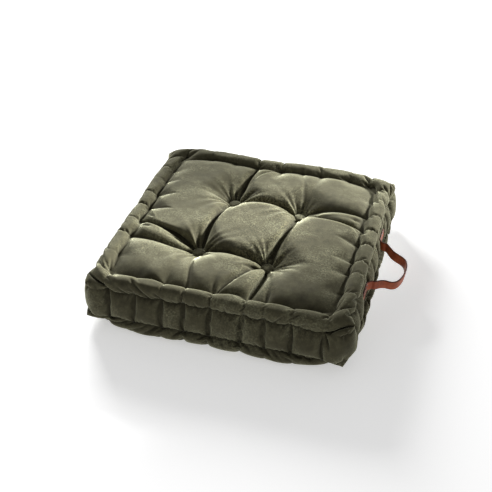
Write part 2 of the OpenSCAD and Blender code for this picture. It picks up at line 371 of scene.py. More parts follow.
def hold_behind_tabs(lat, held):
    """The right-hand band lies flat over the patches behind the handle's ends."""
    middle_rows = lat.rows - 2 * lat.band_roll
    for low, high in PATCHES:
        for step, flat in enumerate(lat.steps):
            y = flat / GATHER_OUT
            for row in range(lat.band_roll, lat.rows - lat.band_roll + 1):
                z = LOW_OUTER_Z + (row - lat.band_roll) / middle_rows * (OUTER_Z - LOW_OUTER_Z)
                level = low.z - PATCH_MARGIN < z < high.z + PATCH_MARGIN
                if level and low.y - PATCH_MARGIN < y < high.y + PATCH_MARGIN:
                    held[lat.ring[row, lat.cells + step]] = (SIDE_AT - CLEARANCE, y, z)


def between(a, b):
    """Grid places from a to b, one cell apart or diagonal."""
    a, b = np.array(a, float), np.array(b, float)
    parts = max(1, int(round(np.abs(b - a).max())))
    return [tuple(np.round(a + (b - a) * k / parts).astype(int)) for k in range(parts + 1)]


def taut(rows, grid, places, du, dv, slack):
    """A taut cord through places of a grid, shorter than the cloth under it."""
    for k, (a, b) in enumerate(zip(places, places[1:])):
        round_end = abs(a[1] - b[1]) > 2
        rest = dv * slack if round_end else math.hypot((a[0] - b[0]) * du, (a[1] - b[1]) * dv) * slack
        if rest > 0:
            rows.append((grid[a], grid[b], rest, k % 2))


def fold_cords(lat, rows):
    """Along the folds of both panels."""
    for grid in (lat.top, lat.bottom):
        for start, end, slack, _ in creases():
            a, b = ([lat.step_at(flat) for flat in point] for point in (start, end))
            taut(rows, grid, between(a, b), lat.cell, lat.cell, slack)


def groove_cords(lat, side, stitches, rows):
    """Along one side's grooves, and gathered towards the corners on the band."""
    for row, pick in ((lat.band_roll, 1), (lat.rows - lat.band_roll, 0)):
        first, last = (int(lat.step_at(GATHER_OUT * stitches[k][pick])) for k in (0, -1))
        for gathered in (range(first + 1), range(last, lat.cells + 1)):
            places = [(row, (side * lat.cells + k) % (4 * lat.cells)) for k in gathered]
            taut(rows, lat.ring, places, lat.row, lat.cell, CORNER_GATHER)
    inside = range(lat.roll_cells, lat.cells - lat.roll_cells + 1)
    for grid in (lat.top, lat.bottom):
        places = [on_panel(lat, side, k, lat.roll_cells) for k in inside]
        taut(rows, grid, places, lat.cell, lat.cell, GROOVE_TAUT)


def roll_cords(lat, side, stitch, rows):
    """Over both rolls at one stitch, and up the crease on the band between them."""
    upper, lower, pinch = stitch
    over = 1.0 - PINCH_TAUT * pinch
    for grid, place in ((lat.top, upper), (lat.bottom, lower)):
        a = on_panel(lat, side, lat.step_at(GATHER_OUT * place), 0)
        b = on_panel(lat, side, lat.step_at(GATHER_IN * place), lat.roll_cells)
        taut(rows, grid, between(a, b), lat.cell, lat.cell, over)
    below, above = (side * lat.cells + int(round(lat.step_at(GATHER_OUT * at))) for at in (lower, upper))
    roll, high = lat.band_roll, lat.rows - lat.band_roll
    crease = GROOVE_TAUT - CREASE_TAUT * pinch
    for start, end, slack in (((0, below), (roll, below), over), ((high, above), (lat.rows, above), over),
                              ((roll, below), (high, above), crease)):
        places = [(row, column % (4 * lat.cells)) for row, column in between(start, end)]
        taut(rows, lat.ring, places, lat.row, lat.cell, slack)


def cords(lat, plan):
    """All the taut lines in the cloth, as links that only pull."""
    rows = []
    fold_cords(lat, rows)
    for side in range(4):
        groove_cords(lat, side, plan[side], rows)
        for stitch in plan[side]:
            roll_cords(lat, side, stitch, rows)
    batches = []
    for turn in (0, 1):
        a, b, rest = (np.array([r[i] for r in rows if r[3] == turn]) for i in range(3))
        batches.append((a, b, rest.astype(np.float32), np.float32(1.0), np.float32(0.0)))
    return batches


def rolled(distance):
    """Distance from the middle and rise from the seam, at a cloth distance in from it."""
    if distance <= ROLL_CLOTH:
        angle = PANEL_TURN * distance / ROLL_CLOTH
        return ROLL_AT + ROLL_R * math.cos(angle), ROLL_R * math.sin(angle)
    share = (distance - ROLL_CLOTH) / GROOVE_CLOTH
    swell = FIRST_DOME * (1 - math.exp(-share * 8))
    return (ROLL_AT + ROLL_R * math.cos(PANEL_TURN)) * (1 - share), ROLL_R * math.sin(PANEL_TURN) + swell


def first_shape(lat):
    """A plain box cushion with rolled edges, which the cloth starts from."""
    x = np.zeros((lat.count, 3))
    for i, j in np.ndindex(lat.top.shape):
        u, v = i - lat.half, j - lat.half
        m = max(abs(u), abs(v))
        out, rise = rolled(PANEL_HALF - m * lat.cell)
        scale = out / m if m else 0
        x[lat.top[i, j]] = u * scale, v * scale, SEAM_TOP + rise
        x[lat.bottom[i, j]] = u * scale, v * scale, max(0.0, SEAM_LOW - rise)
    for k in range(1, lat.rows):
        edge = min(k, lat.rows - k) / lat.band_roll
        angle = min(edge, 1) * BAND_TURN
        out, fall = ROLL_AT + ROLL_R * math.cos(angle), ROLL_R * math.sin(angle)
        z = SEAM_LOW + fall if 2 * k < lat.rows else SEAM_TOP - fall
        if edge > 1:
            share = (k - lat.band_roll) / (lat.rows - 2 * lat.band_roll)
            z = SEAM_LOW + fall + share * (SEAM_TOP - SEAM_LOW - 2 * fall)
        x[lat.ring[k], :2] = (lat.walk - lat.half) / lat.half * out
        x[lat.ring[k], 2] = z
    return x.astype(np.float32)


def finer(lat, fine, x):
    """The same shape on a lattice with cells half the size."""
    out = np.zeros((fine.count, 3), np.float32)
    for coarse, grid in ((lat.top, fine.top), (lat.bottom, fine.bottom), (lat.band, fine.band)):
        p = x[coarse]
        q = np.zeros((2 * p.shape[0] - 1, 2 * p.shape[1] - 1, 3), np.float32)
        q[::2, ::2] = p
        q[1::2, ::2] = (p[1:] + p[:-1]) / 2
        q[:, 1::2] = (q[:, 2::2] + q[:, :-2:2]) / 2
        out[grid] = q
    return out


def project(x, free, batch):
    """Moves both ends of each link towards its own length."""
    a, b, rest, pull, push = batch
    at_a, at_b = x[a], x[b]
    free_a, free_b = free[a], free[b]
    d = at_b - at_a
    length = np.sqrt(np.einsum("ij,ij->i", d, d)) + TINY
    over = length - rest
    k = np.where(over > 0, pull, push) * over / (length * (free_a + free_b + TINY))
    d *= k[:, None]
    x[a] = at_a + d * free_a[:, None]
    x[b] = at_b - d * free_b[:, None]


def area_push(grids, x):
    """The filling's push on every point: outward, in proportion to the area round it."""
    total = np.zeros_like(x)
    for grid in grids:
        p = x[grid]
        n = np.cross(p[1:, 1:] - p[:-1, :-1], p[:-1, 1:] - p[1:, :-1])
        sums = np.zeros_like(p)
        sums[1:, 1:] += n
        sums[:-1, :-1] += n
        sums[:-1, 1:] += n
        sums[1:, :-1] += n
        total[grid[:-1]] += sums[:-1]
        total[grid[-1]] += sums[-1]
    return total


def round_corners(x):
    """Draws back cloth that pokes out past the rounding of the corners."""
    past = np.maximum(np.abs(x[:, :2]) - CORNER_START, 0)
    far = np.hypot(past[:, 0], past[:, 1])
    over = np.maximum(far - CORNER_ROUND, 0) / np.maximum(far, CORNER_ROUND)
    x[:, :2] -= np.sign(x[:, :2]) * past * (over / 2)[:, None]


def casing_links(lat, plan):
    """The links of both panels and of the band, then the cords."""
    links = []
    for grid, zones in ((lat.top, top_zones()), (lat.bottom, [])):
        place = lat.flat_place(grid, lat.steps)
        links += fitted(weave(grid, lat.cell, lat.cell), place, zones, pillow_ease)
    place = lat.flat_place(lat.band, np.arange(lat.rows + 1) * lat.row)
    links += fitted(weave(lat.band, lat.cell, lat.row, loop=True), place, band_zones(plan))
    return links + cords(lat, plan)


def settle(lat, x, plan, steps, passes, push, damp, ease_in):
    """Lets the cloth swell and settle between its stitches and buttons, on the floor."""
    links = casing_links(lat, plan)
    held = held_points(lat, plan)
    ids = np.array(sorted(held))
    goal = np.array([held[k] for k in ids], np.float32)
    free = np.ones(lat.count, np.float32)
    free[ids] = 0
    start = x[ids].copy()
    grids = (lat.top, lat.bottom[::-1], lat.band)
    strength = np.float32(push / (8 * lat.cell * lat.cell))
    old = x.copy()
    for step in range(steps):
        ahead = x + (x - old) * np.float32(damp) + area_push(grids, x) * strength
        old, x = x, ahead
        share = np.float32(min(1.0, (step + 1) / ease_in))
        x[ids] = start + (goal - start) * share
        for _ in range(passes):
            for batch in links:
                project(x, free, batch)
        x[:, 2] -= np.maximum(x[:, 2] - CREST, 0) ** 2 * np.float32(CEILING_PULL)
        round_corners(x)
        low = x[:, 2] < 0
        x[low, 2] = 0
        x[low, :2] = old[low, :2] * FLOOR_GRIP + x[low, :2] * (1 - FLOOR_GRIP)
    return x


def simulate(plan, rng):
    """The settled cloth: a coarse stage for the swelling, then finer ones for the folds."""
    lat = Lattice(1)
    x = first_shape(lat)
    for level, jitter, *settings in STAGES:
        if level > lat.level:
            fine = Lattice(level)
            lat, x = fine, finer(lat, fine, x)
        if jitter:
            x = x + rng.normal(0, jitter, (lat.count, 3)).astype(np.float32)
        x = settle(lat, x, plan, *settings)
    return lat, x


# ---- Meshes cut from the settled cloth ----
FOLD_REACH = 14  # how often the cloth round a point is averaged
FOLD_DEPTH = 0.0045  # from the deepest fold to the highest crest
PLEATS = (9, 13, 17, 22)  # fine pleats round each button, added together
PLEAT_DEPTH = 0.0028
PLEAT_REACH = 0.030  # over which they fade
PLEAT_START = 0.9  # where they begin, over a button's radius
PLEAT_FADE = 0.006  # and over what distance
GLINT_SPOT_AT = 0.03  # painted glints of sheen gather round this spot just right of the middle
GLINT_SPOT_REACH = 0.10
SHANK_R = 0.0046  # the holes for the buttons' shanks
FILLING_GAP = 0.004  # from the filling to the lowest cloth round it
FILLING_REACH = 0.009
FILLING_SHRINK = 0.925  # its width inside the grooves of the panels
FILLING_CELLS = 3  # cells of its search for low cloth, in that reach


def outward(lat, x):
    """The outward direction at every point."""
    total = area_push((lat.top, lat.bottom[::-1], lat.band), x)
    return total / (np.linalg.norm(total, axis=1)[:, None] + 1e-12)


def fold_depth(lat, x, normals):
    """0 where the cloth lies in from what is round it, in a fold, and 1 where it stands out, on a crest; the
    velvet paints shade and highlights from it.
    """
    depth = np.zeros(lat.count)
    for grid in (lat.top, lat.bottom, lat.band):
        p = x[grid].astype(float)
        around = p
        for _ in range(FOLD_REACH):
            padded = np.pad(around, ((1, 1), (1, 1), (0, 0)), mode="edge")
            around = (padded[2:, 1:-1] + padded[:-2, 1:-1] + padded[1:-1, 2:] + padded[1:-1, :-2]) / 4
        depth[grid] = np.einsum("ijk,ijk->ij", p - around, normals[grid])
    return np.clip(0.5 + depth / FOLD_DEPTH, 0, 1)


def pleat_buttons(lat, x, normals):
    """Fine pleats running out from every button, stronger on some sides."""
    rng = np.random.default_rng(PLEAT_SEED)
    out = x.copy()
    for grid in (lat.top, lat.bottom):
        points = x[grid]
        for cx, cy in TUFTS:
            dx, dy = points[..., 0] - cx, points[..., 1] - cy
            far, angle = np.hypot(dx, dy), np.arctan2(dy, dx)
            waves = sum(np.cos(n * angle + rng.uniform(0, 2 * math.pi)) for n in PLEATS) / len(PLEATS)
            uneven = 0.5 + 0.5 * np.cos(3 * angle + rng.uniform(0, 2 * math.pi))
            reach = smooth((far - BUTTON_R * PLEAT_START) / PLEAT_FADE)
            reach = reach * np.exp(-np.maximum(far - BUTTON_R, 0) / PLEAT_REACH)
            rise = PLEAT_DEPTH * waves * (0.4 + uneven) * reach
            out[grid] += normals[grid] * rise[..., None].astype(np.float32)
    return out


def put_in_scene(name, data):
    """A new object in the scene, from a mesh, a light or a camera."""
    obj = bpy.data.objects.new(name, data)
    bpy.context.scene.collection.objects.link(obj)
    return obj


def make_mesh(name, points, faces, material):
    """A smooth mesh object of its own in the scene."""
    mesh = bpy.data.meshes.new(name)
    mesh.from_pydata([tuple(p) for p in np.asarray(points, float)], [], [tuple(f) for f in faces])
    mesh.polygons.foreach_set("use_smooth", [True] * len(mesh.polygons))
    mesh.materials.append(material)
    mesh.update()
    return put_in_scene(name, mesh)


def add_values(obj, name, values):
    """Gives every point of a mesh a number that its material reads."""
    attribute = obj.data.attributes.new(name, "FLOAT", "POINT")
    attribute.data.foreach_set("value", np.asarray(values, np.float32))


def quads(grid):
    """The four-sided faces between neighbouring points of a grid."""
    a, b, c, d = grid[:-1, :-1], grid[1:, :-1], grid[1:, 1:], grid[:-1, 1:]
    return np.stack([a.ravel(), b.ravel(), c.ravel(), d.ravel()], 1)


def cut(name, grid, x, folds, material, keep):
    """One panel of the casing, cut from the cloth at its seams."""
    numbers = np.arange(grid.size).reshape(grid.shape)
    faces = quads(numbers)
    points = x[grid.ravel()]
    if keep is not None:
        faces = faces[keep(points[faces].mean(1))]
    obj = make_mesh(name, points, faces, material)
    # The fold value paints shade into the velvet's folds and highlights onto its crests
    add_values(obj, "fold", folds[grid.ravel()])
    # Painted glints: a spot just right of the middle where the velvet's speckle is brightened like sheen
    from_glint_spot = np.hypot(points[:, 0] - GLINT_SPOT_AT, points[:, 1])
    add_values(obj, "painted_glint_spot", np.exp(-(from_glint_spot / GLINT_SPOT_REACH) ** 2))
    return obj


def clear_of_shanks(centres):
    """False where a button's shank passes through the cloth."""
    near = [np.hypot(centres[:, 0] - x, centres[:, 1] - y) for x, y in TUFTS]
    return np.min(near, axis=0) > SHANK_R


def place_piece(obj, node):
    """Makes a mesh a piece of the cushion, in place of a node of the frame."""
    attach(obj, "cushion")
    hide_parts(node)


def make_casing(lat, x, velvet):
    """The two panels and the four side bands of velvet."""
    x = pleat_buttons(lat, x, outward(lat, x))
    folds = fold_depth(lat, x, outward(lat, x))
    panels = [("top_panel_velvet", "top_panel", lat.top, clear_of_shanks),
              ("bottom_panel_velvet", "bottom_panel", lat.bottom[::-1], clear_of_shanks)]
    for side, name in enumerate(SIDES):
        strip = lat.band[side * lat.cells:(side + 1) * lat.cells + 1]
        panels.append((f"boxing_{name}_velvet", f"boxing_{name}", strip, None))
    for name, node, grid, keep in panels:
        piece = cut(name, grid, x, folds, velvet, keep)
        place_piece(piece, node)


def lowest_near(values, reach):
    """The least value within reach grid steps each way."""
    values = np.pad(values, reach, mode="edge")
    for axis in (0, 1):
        values = np.lib.stride_tricks.sliding_window_view(values, 2 * reach + 1, axis).min(-1)
    return values


def lowest_round(cloth, heights, places):
    """The least of the cloth's heights within FILLING_REACH of each place."""
    cells = ((np.concatenate([cloth, places]) + 1.0) / FILLING_REACH * FILLING_CELLS).astype(int)
    cells -= cells.min(0)
    least = np.full(cells.max(0) + 1, CREST)
    cloth_cells, place_cells = cells[:len(cloth)], cells[len(cloth):]
    np.minimum.at(least, (cloth_cells[:, 0], cloth_cells[:, 1]), heights)
    return lowest_near(least, FILLING_CELLS)[place_cells[:, 0], place_cells[:, 1]]


def make_filling(lat, x, fibre):
    """The fibre filling: one closed body inside the casing, under its deepest folds."""
    step = 2 * lat.level
    inside = x.astype(float)
    grid = lat.band
    far = np.abs(x[grid][..., :2]).max(-1)
    inside[grid, :2] *= ((lowest_near(far, step) - FILLING_GAP) / far)[..., None]
    for grid, up in ((lat.top, 1), (lat.bottom, -1)):
        numbers = grid.ravel()
        inside[numbers, :2] = x[numbers, :2] * FILLING_SHRINK
        lowest = lowest_round(x[numbers, :2], up * x[numbers, 2], inside[numbers, :2])
        inside[numbers, 2] = up * (lowest - FILLING_GAP)
    inside[:, 2] = np.clip(inside[:, 2], FILLING_GAP, CREST - FILLING_GAP)
    grids = (lat.top[::step, ::step], lat.bottom[::-1][::step, ::step], lat.band[::step, ::step])
    used = np.unique(np.concatenate([g.ravel() for g in grids]))
    number = np.zeros(lat.count, int)
    number[used] = np.arange(len(used))
    faces = np.vstack([quads(number[g]) for g in grids])
    piece = make_mesh("filling_fibre", inside[used], faces, fibre)
    place_piece(piece, "filling")


# ---- Buttons ----
BUTTON_SKIRT = 0.0016  # the upright rim of a cover
COVER_T = 0.0008
DOME_RINGS = 12
BUTTON_TURNS = 72
DOME_POWER = 0.92  # below 1 the dome is fuller than a quarter circle
LIP = (0.995, 0.965, 0.93)  # the cover's lower edge, over its radius
COVER_INSIDE = 0.925  # the inside of a cover, over its outside
LEAST_RISE = 0.0001  # keeps the cover off the cloth under it
RIM_PLEATS = (7, 11, 17)  # pleats round a cover's rim, added together
RIM_DROP = 0.00035
RIM_DRAW = 0.00025


def button_profile():
    """The cover's outline, from the crown down to the seat and back up inside."""
    rise = CROWN_TOP - SEAT_TOP
    outer = []
    for k in range(DOME_RINGS + 1):
        angle = k / DOME_RINGS * math.pi / 2
        z = BUTTON_SKIRT + (rise - BUTTON_SKIRT) * math.cos(angle)
        outer.append((BUTTON_R * math.sin(angle) ** DOME_POWER, z))
    lip = [(BUTTON_R * part, z) for part, z in zip(LIP, (BUTTON_SKIRT * 0.45, LEAST_RISE, LEAST_RISE))]
    inner = [(r * COVER_INSIDE, max(z - COVER_T, 2 * LEAST_RISE)) for r, z in reversed(outer)]
    return outer + lip + inner


def make_button_cover(name, node, velvet, seed):
    """A velvet cover pulled over a button's shell, with small pleats towards its rim."""
    low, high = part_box(node)
    upper = high.z > CREST / 2
    phases = np.random.default_rng(seed).uniform(0, 2 * math.pi, len(RIM_PLEATS))
    points, folds = [], []
    profile = button_profile()
    for r, z in profile:
        rim = smooth((r / BUTTON_R - 0.55) / 0.45) * (1 if z > COVER_T else 0)
        for k in range(BUTTON_TURNS):
            angle = 2 * math.pi * k / BUTTON_TURNS
            pleat = sum(math.sin(n * angle + p) for n, p in zip(RIM_PLEATS, phases)) / len(RIM_PLEATS)
            away = r + RIM_DRAW * rim * (pleat - 1)
            height = max(z + RIM_DROP * rim * (pleat - 0.6), LEAST_RISE)
            points.append(((low.x + high.x) / 2 + away * math.cos(angle),
                           (low.y + high.y) / 2 + away * math.sin(angle),
                           low.z + height if upper else high.z - height))
            # Painted shade and highlight: from this fold value the velvet darkens the rim's pleats and
            # lightens their crests
            folds.append(0.5 + 0.25 * rim * pleat)
    rings = np.arange(len(points)).reshape(len(profile), BUTTON_TURNS)
    faces = quads(np.hstack([rings, rings[:, :1]]))
    cover = make_mesh(name, points, faces if upper else faces[:, ::-1], velvet)
    add_values(cover, "fold", folds)
    place_piece(cover, node)


def make_buttons(velvet):
    """The covers of all eight buttons, each with its own pleats."""
    for layer, half in enumerate(("top", "bottom")):
        for number in range(1, 5):
            node = f"{half}_button_{number}_cover"
            make_button_cover(f"{node}_velvet", node, velvet, BUTTON_SEED + 4 * layer + number)


# ---- The hand stitches of the rolled edges ----
STITCH_LEN = 0.008
THREAD_R = 0.0006
THREAD_OUT = 0.0004  # how far the thread's middle stands off its groove
THREAD_BEND = 0.0009  # the rounding of a stitch's corners
THREAD_SIDES = 8
ASIDE = (0.31, 0.17, 0.93)  # a direction that no thread runs in


def thread_ring(path):
    """A round tube of thread along a closed path."""
    path = np.array(path, float)
    along = np.roll(path, -1, 0) - np.roll(path, 1, 0)
    along /= np.linalg.norm(along, axis=1)[:, None]
    side = np.cross(along, ASIDE)
    side /= np.linalg.norm(side, axis=1)[:, None]
    up = np.cross(along, side)
    turns = np.arange(THREAD_SIDES) * 2 * math.pi / THREAD_SIDES
    spokes = np.cos(turns)[:, None] * side[:, None] + np.sin(turns)[:, None] * up[:, None]
    numbers = np.arange(len(path) * THREAD_SIDES).reshape(len(path), THREAD_SIDES)
    numbers = np.hstack([numbers, numbers[:, :1]])
    numbers = np.vstack([numbers, numbers[:1]])
    return (path[:, None] + THREAD_R * spokes).reshape(-1, 3), quads(numbers)[:, ::-1]


def stitch_loop(side, place, pinch, low):
    """One stitch's thread: out along the panel, through the roll, along the band and back."""
    inner, outer = (np.array(end) for end in stitch_ends(side, place, pinch, low))
    along = np.array((*turned(side, 1, 0), 0.0)) * STITCH_LEN / 2
    away = np.array((*turned(side, 0, 1), 0.0))
    over = np.array((0, 0, -1.0 if low else 1.0)) * THREAD_OUT
    inner, outer = inner + over, outer + away * THREAD_OUT
    corners = [inner - along, inner + along, outer + along, outer - along]
    path = []
    for k, here in enumerate(corners):
        before, after = corners[k - 1], corners[(k + 1) % 4]
        back = (before - here) / np.linalg.norm(before - here)
        on = (after - here) / np.linalg.norm(after - here)
        for t in np.linspace(0, 1, 5):
            path.append(here + back * THREAD_BEND * (1 - t) ** 2 + on * THREAD_BEND * t ** 2)
        start, end = here + on * THREAD_BEND, after - on * THREAD_BEND
        for t in (0.25, 0.5, 0.75):
            path.append(start + (end - start) * t)
    return path


def make_roll_stitching(plan, thread):
    """The hand stitches of all eight rolled edges, a piece for each edge."""
    for side, name in enumerate(SIDES):
        for level, low in (("top", False), ("bottom", True)):
            points, faces = [], []
            for upper, lower, pinch in plan[side]:
                ring_points, ring_faces = thread_ring(stitch_loop(side, lower if low else upper, pinch, low))
                faces.append(ring_faces + sum(len(p) for p in points))
                points.append(ring_points)
            node = f"roll_stitching_{level}_{name}"
            piece = make_mesh(f"{node}_thread", np.vstack(points), np.vstack(faces), thread)
            place_piece(piece, node)


# ---- The leather handle ----
STRAP_T = 0.0030
STRAP_EDGE = 0.0011  # radius of the strap's rubbed edges
STRAP_CORNER = 0.0040  # radius of its corners at both sewn ends
STRAP_STEP = 0.0012  # from one cut to the next along the strap
STRAP_ACROSS = 9  # points across each face
STRAP_CROWN = 0.0001  # how much thicker it is along its middle
STRAP_TWIST = 7.0  # degrees that the loop leans out at its far end
STRAP_SAG = 0.0012
STRAP_FREE = (0.18, 0.84)  # where the strap leaves and meets the side, over its length
STRAP_FADE = 0.14  # over which the twist and the sag set in
END_INSET = 0.012  # from a tab's ends to the straight part
# The curve of the free loop's two legs from above, each from the side outwards
FRONT_LEG = ((0.2365, -0.0450), (0.2440, -0.0395), (0.2520, -0.0365), (0.2610, -0.0370),
             (0.2685, -0.0345), (0.2742, -0.0270), (0.2788, -0.0125))
REAR_LEG = ((0.2375, 0.0665), (0.2445, 0.0580), (0.2520, 0.0490), (0.2605, 0.0425),
            (0.2688, 0.0370), (0.2758, 0.0295), (0.2796, 0.0185))
LOOP_END = (0.003, 0.0040)  # the far end: inside the frame's loop, and back


def smooth_line(points, gap):
    """An even line through points, rounded between them."""
    p = np.array(points, float)
    p = np.vstack([2 * p[0] - p[1], p, 2 * p[-1] - p[-2]])
    fine = []
    for k in range(1, len(p) - 2):
        for t in np.linspace(0, 1, 40, endpoint=False):
            a, b, c, d = p[k - 1], p[k], p[k + 1], p[k + 2]
            fine.append(0.5 * (2 * b + (c - a) * t + (2 * a - 5 * b + 4 * c - d) * t ** 2
                               + (3 * b - a - 3 * c + d) * t ** 3))
    fine.append(p[-2])
    fine = np.array(fine)
    far = np.concatenate([[0], np.cumsum(np.linalg.norm(np.diff(fine, axis=0), axis=1))])
    even = np.linspace(0, far[-1], int(far[-1] / gap) + 1)
    return np.stack([np.interp(even, far, fine[:, k]) for k in range(fine.shape[1])], 1)


def sewn_end(outer, inner):
    """The strap's line from a tab's outer end to where the strap has bent off the side."""
    flat = TABS[0][0].x + STRAP_T / 2
    way = math.copysign(1, inner - outer)
    return [(flat, outer), (flat, outer + way * END_INSET), (flat, inner - way * END_INSET),
            (flat + 0.0008, inner - way * 0.004), (flat + 0.0075, inner + way * 0.0025)]


def strap_line():
    """The strap's middle line from above: sewn end, bend, loop, bend, sewn end."""
    front, rear = TABS
    far_end = (LOOP[1].x - STRAP_T / 2 - LOOP_END[0], LOOP_END[1])
    rear_half = [*sewn_end(rear[1].y, rear[0].y), *REAR_LEG]
    return [*sewn_end(front[0].y, front[1].y), *FRONT_LEG, far_end, *reversed(rear_half)]


def strap_section(half):
    """One cut of the strap: place across it, place through it and how near its edge."""
    points = []
    for face in (1, -1):
        for w in np.linspace(half - STRAP_EDGE, -half + STRAP_EDGE, STRAP_ACROSS):
            out = STRAP_T / 2 - STRAP_CROWN * (w / half) ** 2
            points.append((face * w, face * out, (abs(w) / half) ** 4))
        for turn in (0.25, 0.5, 0.75):
            angle = turn * math.pi
            w = -half + STRAP_EDGE - STRAP_EDGE * math.sin(angle)
            points.append((face * w, face * STRAP_T / 2 * math.cos(angle), 1.0))
    return points


def strap_half(k, count):
    """Half the strap's width at one cut, less at both ends for its rounded corners."""
    full = (LOOP[1].z - LOOP[0].z) / 2
    missing = max(0.0, STRAP_CORNER - min(k, count - 1 - k) * STRAP_STEP)
    return full - STRAP_CORNER + math.sqrt(max(STRAP_CORNER ** 2 - missing ** 2, 0.0))


def strap_cuts():
    """All the strap's cuts, and how near its edge each of their points is."""
    line = smooth_line(strap_line(), STRAP_STEP)
    along = np.gradient(line, axis=0)
    along /= np.linalg.norm(along, axis=1)[:, None]
    far = np.linspace(0, 1, len(line))
    free = smooth((far - STRAP_FREE[0]) / STRAP_FADE) * smooth((STRAP_FREE[1] - far) / STRAP_FADE)
    lean = np.radians(STRAP_TWIST) * free * np.cos(math.pi * (far - 0.5))
    height = (LOOP[0].z + LOOP[1].z) / 2 - STRAP_SAG * free
    cuts, edges = [], []
    for k, (x, y) in enumerate(line):
        out, upright = np.array((along[k][1], -along[k][0], 0)), np.array((0, 0, 1.0))
        up = upright * math.cos(lean[k]) + out * math.sin(lean[k])
        away = out * math.cos(lean[k]) - upright * math.sin(lean[k])
        section = strap_section(strap_half(k, len(line)))
        cuts.append([np.array((x, y, height[k])) + up * w + away * t for w, t, _ in section])
        edges.append([edge for _, _, edge in section])
    return np.array(cuts), np.array(edges)


def make_strap(leather):
    """The handle: one strap of leather, sewn flat to the side at both ends."""
    cuts, edges = strap_cuts()
    numbers = np.arange(edges.size).reshape(edges.shape)
    faces = [tuple(f) for f in quads(np.hstack([numbers, numbers[:, :1]]))]
    faces += [tuple(numbers[0]), tuple(numbers[-1][::-1])]
    strap = make_mesh("handle_strap", cuts.reshape(-1, 3), faces, leather)
    add_values(strap, "edge", edges.ravel())
    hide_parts("handle_loop", "handle_tab_front", "handle_tab_rear")
    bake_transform(strap)


# ---- Materials ----
class Shader:
    """A node material, built a node at a time around one Principled shader."""

    def __init__(self, name, settings):
        self.material = bpy.data.materials.new(name)
        self.material.use_nodes = True
        self.tree = self.material.node_tree
        self.surface = self.tree.nodes["Principled BSDF"]
        self.feed(self.surface, settings)
        self.place = self.node("TexCoord").outputs["Object"]

    def feed(self, node, inputs):
        """Gives a node's inputs, by name or number, the outputs of other nodes, numbers or colours."""
        for key, source in inputs.items():
            socket = node.inputs[key]
            if isinstance(source, (int, float)):
                socket.default_value = source
            elif isinstance(source, tuple):
                socket.default_value = (*source, 1.0) if socket.type == "RGBA" else source
            else:
                self.tree.links.new(source, socket)

    def node(self, kind, inputs=None):
        node = self.tree.nodes.new(f"ShaderNode{kind}")
        self.feed(node, inputs or {})
        return node

    def texture(self, kind, inputs, stretch=None):
        """A texture in the object's own space, which may be stretched."""
        place = self.place
        if stretch:
            place = self.node("Mapping", {"Scale": stretch, "Vector": place}).outputs["Vector"]
        return self.node(f"Tex{kind}", {**inputs, "Vector": place})

    def noise(self, scale, detail, roughness, stretch=None):
        inputs = {"Scale": scale, "Detail": detail, "Roughness": roughness}
        return self.texture("Noise", inputs, stretch).outputs["Fac"]

    def cells(self, scale):
        """Distance from the edges of irregular cells."""
        node = self.texture("Voronoi", {"Scale": scale})
        node.feature = "DISTANCE_TO_EDGE"
        return node.outputs["Distance"]

    def waves(self, direction, scale, distortion):
        node = self.texture("Wave", {"Scale": scale, "Distortion": distortion})
        node.bands_direction = direction
        return node.outputs["Fac"]

    def value(self, name):
        """The number that add_values gave every point of the mesh."""
        node = self.node("Attribute")
        node.attribute_name = name
        return node.outputs["Fac"]

    def math(self, kind, a, b):
        node = self.node("Math", {0: a, 1: b})
        node.operation = kind
        return node.outputs[0]

    def sum(self, a, times_a, b, times_b):
        """Two values added, each times its own weight."""
        return self.math("ADD", self.math("MULTIPLY", a, times_a), self.math("MULTIPLY", b, times_b))

    def ramp(self, factor, *stops):
        node = self.node("ValToRGB", {"Fac": factor})
        elements = node.color_ramp.elements
        for k, (at, color) in enumerate(stops):
            element = elements[k] if k < len(elements) else elements.new(at)
            element.position = at
            element.color = (*color, 1.0)
        return node.outputs["Color"]

    def grey(self, factor, low, high):
        return self.ramp(factor, (0.0, (low,) * 3), (1.0, (high,) * 3))

    def mix(self, factor, a, b, kind="MIX"):
        node = self.node("Mix", {0: factor, 6: a, 7: b})
        node.data_type = "RGBA"
        node.blend_type = kind
        return node.outputs[2]

    def finish(self, color, roughness, height, distance, strength):
        """Gives the shader its colour, roughness and bumps."""
        bump = self.node("Bump", {"Distance": distance, "Strength": strength, "Height": height})
        looks = {"Base Color": color, "Roughness": roughness, "Normal": bump.outputs["Normal"]}
        self.feed(self.surface, looks)
        return self.material


